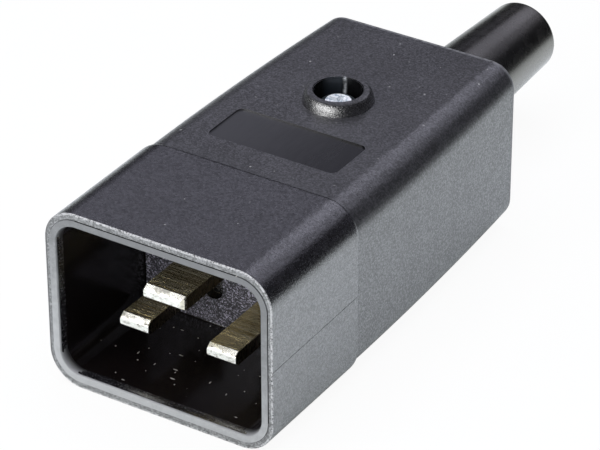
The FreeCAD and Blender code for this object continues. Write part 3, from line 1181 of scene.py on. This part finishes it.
def buildCamera():
    size = cameraSizes
    azimuth, elevation, roll = (math.radians(size[name]) for name in ("azimuth", "elevation", "roll"))
    level = math.cos(elevation)
    back = Vector((math.sin(azimuth) * level, -math.cos(azimuth) * level, math.sin(elevation)))
    side = Vector((math.cos(azimuth), math.sin(azimuth), 0))
    upward = back.cross(side)
    right = side * math.cos(roll) + upward * math.sin(roll)
    upward = upward * math.cos(roll) - side * math.sin(roll)
    lens = bpy.data.cameras.new("studio_camera")
    lens.sensor_width = size["sensor"]
    lens.lens = size["lens"]
    lens.clip_start = size["clipStart"] * mm
    camera = bpy.data.objects.new("studio_camera", lens)
    spot = right * size["across"] + upward * size["upward"] + back * size["distance"]
    spot += Vector((0, rimY, 0))
    turned = Matrix((right, upward, back)).transposed().to_4x4()
    camera.matrix_world = Matrix.Translation(spot * mm) @ turned
    bpy.context.scene.collection.objects.link(camera)
    bpy.context.scene.camera = camera


buildCamera()
print("camera placed")

# White table, soft boxes and a dim room, in metres
stageLook = {
    "floorSpan": 6.0,
    "tableGap": 0.00002,
    "white": colour(1, 1, 1),
    "paper": colour(0.965, 1.0, 0.968),
    "seenWhite": 0.94,
    "mirroredWhite": 0.15,
    "mirrorTint": colour(0.93, 1.0, 0.967),
    "mirrorFar": colour(0.02, 0.02, 0.022),
    "patchTowards": (0.9, 0.45, 0.0),
    "patchEdge": (0.02, 0.125),
    "backTowards": (-0.5, 0.8, 0.0),
    "backEdge": (0.04, 0.14),
    "backShare": 0.6,
    "room": 0.015,
    "roomTint": colour(0.9, 0.9, 1.0),
    "unmirrored": "overhead_box",
}

# position, aim, size, radiance, tint
softBoxes = {
    "overhead_box": ((0.0, 0.0, 0.7), (0.0, 0.0, 0.0), (0.7, 0.7), 3.4, (0.86, 0.88, 1.0)),
    "back_box": ((-0.045, 0.53, 0.465), (-0.045, 0.0, 0.0), (0.33, 0.21), 0.98, (0.84, 0.84, 1.0)),
    "back_fill": ((0.24, 0.53, 0.44), (0.2, 0.0, 0.0), (0.24, 0.22), 0.5, (0.84, 0.84, 1.0)),
    "left_wall": ((-0.6, 0.477, 0.54), (0.0, 0.0, 0.02), (0.72, 0.36), 0.31, (0.82, 0.82, 1.0)),
    "key_box": ((-0.235, -0.26, 0.36), (0.0, -0.03, 0.02), (0.14, 0.14), 4.0, (1.0, 1.0, 1.0)),
    "front_box": ((-0.1, -0.55, 0.185), (0.0, -0.03, 0.012), (0.6, 0.34), 3.6, (1.0, 1.0, 1.0)),
}


def buildTable():
    look = stageLook
    bm = bmesh.new()
    half = look["floorSpan"] / 2
    corners = [(-half, -half), (half, -half), (half, half), (-half, half)]
    bm.faces.new([bm.verts.new((x, y, -look["tableGap"])) for x, y in corners])
    table = newPiece("white_table", bm)
    material = bpy.data.materials.new("white_table")
    wire = emptyTree(material)
    seen = wire.add("ShaderNodeLightPath", output="Is Camera Ray")
    glossy = wire.add("ShaderNodeLightPath", output="Is Glossy Ray")
    through = wire.add("ShaderNodeLightPath", output="Is Transmission Ray")
    spot = wire.add("ShaderNodeTexCoord", output="Object")

    def fall(name):
        # how far the table lies past an edge, in one direction
        sockets = {0: spot, 1: look[name + "Towards"]}
        reach = wire.add("ShaderNodeVectorMath", {"operation": "DOT_PRODUCT"}, sockets, "Value")
        return reach.ramp(*look[name + "Edge"])

    patch = (1 - fall("patch")) * (1 - fall("back") * look["backShare"])
    mirrored = wire.calc("MINIMUM", glossy + through, 1.0)
    hue = seen.blend(patch.blend(look["mirrorFar"], look["mirrorTint"]), look["white"])
    shown = seen * look["seenWhite"] + mirrored * (1 - patch * (1 - look["mirroredWhite"]))
    paper = wire.add("ShaderNodeBsdfDiffuse", {}, {"Color": look["paper"]})
    glow = wire.add("ShaderNodeEmission", {}, {"Color": hue})
    surface = wire.add("ShaderNodeMixShader", {}, {0: shown, 1: paper, 2: glow})
    wire.add("ShaderNodeOutputMaterial", {}, {"Surface": surface})
    table.data.materials.append(material)


def buildRoom():
    look = stageLook
    world = bpy.data.worlds.new("studio_room")
    wire = emptyTree(world)
    seen = wire.add("ShaderNodeLightPath", output="Is Camera Ray")
    strength = seen + (1 - seen) * look["room"]
    tint = seen.blend(look["roomTint"], look["white"])
    sky = wire.add("ShaderNodeBackground", {}, {"Color": tint, "Strength": strength})
    wire.add("ShaderNodeOutputWorld", {}, {"Surface": sky})
    bpy.context.scene.world = world


def buildLamps():
    for name, (spot, aim, (width, height), radiance, tint) in softBoxes.items():
        lamp = bpy.data.lights.new(name, "AREA")
        lamp.shape = "RECTANGLE"
        lamp.size = width
        lamp.size_y = height
        lamp.color = tint
        lamp.energy = radiance * math.pi * width * height
        holder = bpy.data.objects.new(name, lamp)
        holder.location = spot
        holder.visible_glossy = name != stageLook["unmirrored"]
        holder.rotation_mode = "QUATERNION"
        holder.rotation_quaternion = (Vector(aim) - Vector(spot)).to_track_quat("-Z", "Y")
        bpy.context.scene.collection.objects.link(holder)


buildTable()
buildRoom()
buildLamps()
bpy.context.scene.view_settings.view_transform = "Standard"
print("stage set")
